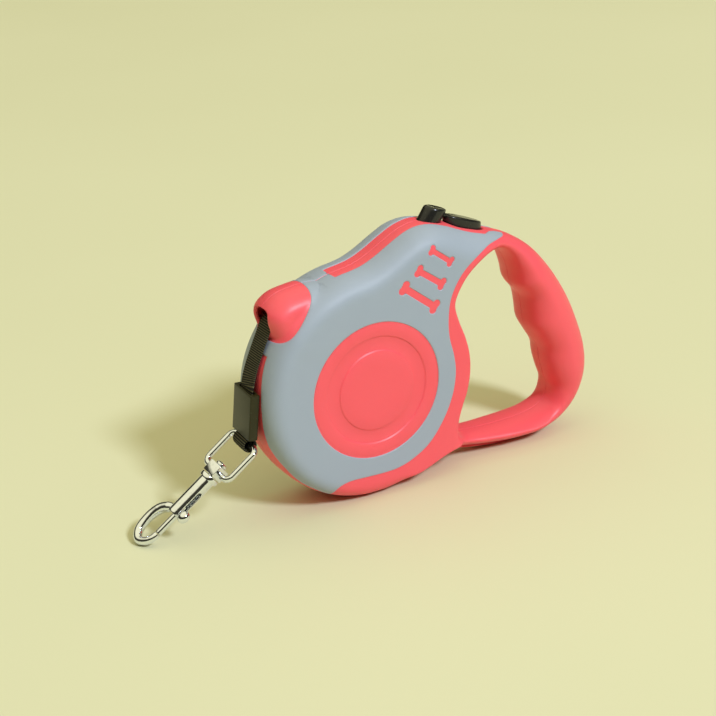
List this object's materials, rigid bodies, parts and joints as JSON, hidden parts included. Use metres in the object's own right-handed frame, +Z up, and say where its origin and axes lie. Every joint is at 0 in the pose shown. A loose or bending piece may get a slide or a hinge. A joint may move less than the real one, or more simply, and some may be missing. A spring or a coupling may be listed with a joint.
{
  "type": "retractable dog leash",
  "caption": "Ring-handled reel leash with a two-tone drum casing, thumb brake and lock on top, and a flat tape ending in a swivelling bolt snap.",
  "frame": {"origin": "centre of the footprint of the casing, at the height it stands on", "axes": "+X from the tape's mouth to the hand grip, +Y to the right-hand casing half, +Z up"},
  "size_m": [0.2125, 0.0326, 0.1151],
  "materials": {
    "casing": "satin coral pink ABS",
    "overmould": "satin grey soft-touch elastomer",
    "button": "black moulded plastic",
    "inner": "natural white acetal",
    "tape": "black ribbed woven nylon",
    "plated": "polished nickel plate",
    "steel": "plain steel"
  },
  "bodies": {
    "housing": {"left_shell": "casing", "right_shell": "casing", "left_skin": "overmould", "right_skin": "overmould", "shell_screws": "steel", "axle": "steel", "spring_arbor": "steel", "thrust_washers": "inner", "guide_pin": "steel", "lever_pin": "steel", "brake_spring": "steel", "lock_spring": "steel"},
    "spool": {"spool": "inner", "spool_cheek": "inner", "spring_cover": "inner", "tape_winding": "tape", "power_spring": "steel"},
    "brake": {"brake_lever": "button"},
    "lock": {"lock_button": "button"},
    "tape_end": {"tape": "tape", "tape_loop": "tape", "ferrule": "button"},
    "bail": {"bail": "plated"},
    "snap": {"snap_body": "plated", "swivel_rivet": "plated"},
    "bolt": {"snap_bolt": "plated", "snap_spring": "steel"}
  },
  "joints": [
    {"name": "tape_pull", "type": "slide", "parent": "housing", "child": "tape_end", "axis": [-1, 0, 0], "range_m": [0, 4.9], "stiffness_N_per_m": 1.4, "springref_m": -2.2, "deforming": ["tape"]},
    {"name": "spool_spin", "type": "hinge", "parent": "housing", "child": "spool", "pos_m": [-0.03125, 0, 0.04878], "axis": [0, -1, 0], "range_deg": [-5, 11045]},
    {"name": "brake_press", "type": "hinge", "parent": "housing", "child": "brake", "pos_m": [0.02675, 0, 0.09598], "axis": [0, -1, 0], "range_deg": [0, 6], "stiffness_Nm_per_rad": 0.3, "springref_deg": -8.59, "deforming": ["brake_spring"]},
    {"name": "lock_press", "type": "slide", "parent": "housing", "child": "lock", "axis": [-0.5878, 0, -0.809], "range_m": [0, 0.0025], "stiffness_N_per_m": 400, "springref_m": -0.002, "deforming": ["lock_spring"]},
    {"name": "bail_swing", "type": "hinge", "parent": "tape_end", "child": "bail", "pos_m": [-0.08385, -0.0003, 0.03538], "axis": [-0.0592, 0.9863, 0.1542], "range_deg": [-45, 75]},
    {"name": "swivel_spin", "type": "hinge", "parent": "bail", "child": "snap", "pos_m": [-0.08385, -0.0003, 0.03538], "axis": [-0.8068, 0.0437, -0.5892], "continuous": true},
    {"name": "bolt_slide", "type": "slide", "parent": "snap", "child": "bolt", "axis": [0.8068, -0.0437, 0.5892], "range_m": [0, 0.007], "stiffness_N_per_m": 120, "springref_m": -0.006, "deforming": ["snap_spring"]}
  ],
  "couplings": [
    {"joint": "spool_spin", "follows": "tape_pull", "rad_per_m": 39.323}
  ]
}
